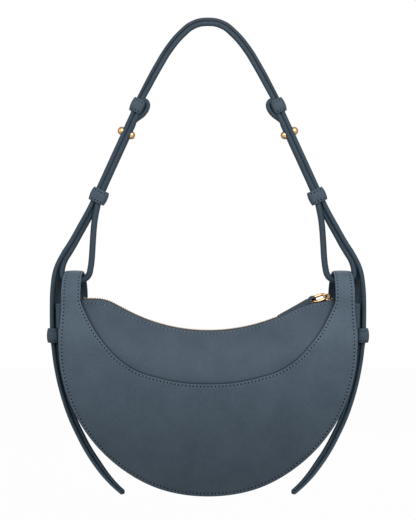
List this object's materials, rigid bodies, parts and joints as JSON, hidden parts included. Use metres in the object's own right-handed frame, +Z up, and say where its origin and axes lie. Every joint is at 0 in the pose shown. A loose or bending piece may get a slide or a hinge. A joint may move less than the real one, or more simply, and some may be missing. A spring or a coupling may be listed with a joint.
{
  "type": "half moon shoulder bag",
  "caption": "Half moon leather shoulder bag with a curved zip mouth, horn loops, an adjustable knotted strap with keepers, and free strap tails.",
  "frame": {"origin": "underside of the shoulder strap at the top of its arc, where a hook or shoulder bears", "axes": "+X to the right of the front face, +Y from front to back, +Z up along the hanging strap"},
  "size_m": [0.3208, 0.0848, 0.4763],
  "materials": {
    "panel_leather": "fine grain, satin",
    "inset_leather": "fine grain, satin",
    "keeper_leather": "fine grain, satin",
    "strap_leather": "rolled, satin",
    "pull_leather": "edge painted, satin",
    "facing_suede": "suede",
    "lining": "woven",
    "zip_tape": "woven",
    "gold_metal": "polished",
    "zip_brass": "polished"
  },
  "bodies": {
    "strap": {"strap_top": "strap_leather", "strap_run_left": "strap_leather", "strap_run_right": "strap_leather", "horn_strap_left": "strap_leather", "horn_strap_right": "strap_leather", "upper_keeper_left": "keeper_leather", "upper_keeper_right": "keeper_leather", "strap_end_left": "strap_leather", "strap_end_right": "strap_leather", "stud_base_left": "gold_metal", "stud_base_right": "gold_metal", "stud_cap_left": "gold_metal", "stud_cap_right": "gold_metal"},
    "bag": {"front_panel": "panel_leather", "back_panel": "panel_leather", "front_upper_panel": "inset_leather", "back_upper_panel": "inset_leather", "lining_front": "lining", "lining_back": "lining", "gusset": "panel_leather", "lining_gusset": "lining", "gusset_tab_left": "keeper_leather", "gusset_tab_right": "keeper_leather", "horn_arch_left": "panel_leather", "horn_arch_right": "panel_leather", "horn_facing_left": "facing_suede", "horn_facing_right": "facing_suede", "back_horn_wing_left": "facing_suede", "back_horn_wing_right": "facing_suede", "side_keeper_left": "keeper_leather", "side_keeper_right": "keeper_leather", "strap_drop_left": "strap_leather", "strap_drop_right": "strap_leather", "zip_tape_front": "zip_tape", "zip_tape_back": "zip_tape", "zip_teeth_front": "zip_brass", "zip_teeth_back": "zip_brass", "zip_stops": "gold_metal"},
    "tail_left": {"strap_tail_left": "strap_leather"},
    "tail_right": {"strap_tail_right": "strap_leather"},
    "keeper_left": {"lower_keeper_left": "keeper_leather"},
    "keeper_right": {"lower_keeper_right": "keeper_leather"},
    "slider": {"zip_slider": "gold_metal"},
    "ring": {"zip_pull_ring": "gold_metal"},
    "pull": {"zip_pull_tab": "pull_leather"}
  },
  "joints": [
    {"name": "bag_swing", "type": "hinge", "parent": "strap", "child": "bag", "pos_m": [0, 0, -0.2526], "axis": [1, 0, 0], "range_deg": [-45, 45]},
    {"name": "keeper_slide_left", "type": "slide", "parent": "strap", "child": "keeper_left", "axis": [0.4099, 0, 0.9121], "range_m": [0, 0.045]},
    {"name": "keeper_slide_right", "type": "slide", "parent": "strap", "child": "keeper_right", "axis": [-0.4099, 0, 0.9121], "range_m": [0, 0.045]},
    {"name": "zip_run", "type": "hinge", "parent": "bag", "child": "slider", "pos_m": [0, 0, -0.0853], "axis": [0, 1, 0], "range_deg": [0, 28], "deforming": ["zip_tape_front", "zip_tape_back", "zip_teeth_front", "zip_teeth_back"]},
    {"name": "ring_swing", "type": "hinge", "parent": "slider", "child": "ring", "pos_m": [0.11399, 0, -0.26789], "axis": [0, 1, 0], "range_deg": [0, 90]},
    {"name": "pull_swing", "type": "hinge", "parent": "ring", "child": "pull", "pos_m": [0.10225, 0, -0.27337], "axis": [-0.1613, 0.9272, 0.3381], "range_deg": [0, 60]},
    {"name": "tail_swing_left", "type": "hinge", "parent": "bag", "child": "tail_left", "pos_m": [-0.1554, 0, -0.319], "axis": [0, 1, 0], "range_deg": [0, 40], "stiffness_Nm_per_rad": 0.06, "springref_deg": -5.73},
    {"name": "tail_swing_right", "type": "hinge", "parent": "bag", "child": "tail_right", "pos_m": [0.1554, 0, -0.319], "axis": [0, -1, 0], "range_deg": [0, 40], "stiffness_Nm_per_rad": 0.06, "springref_deg": -5.73}
  ]
}
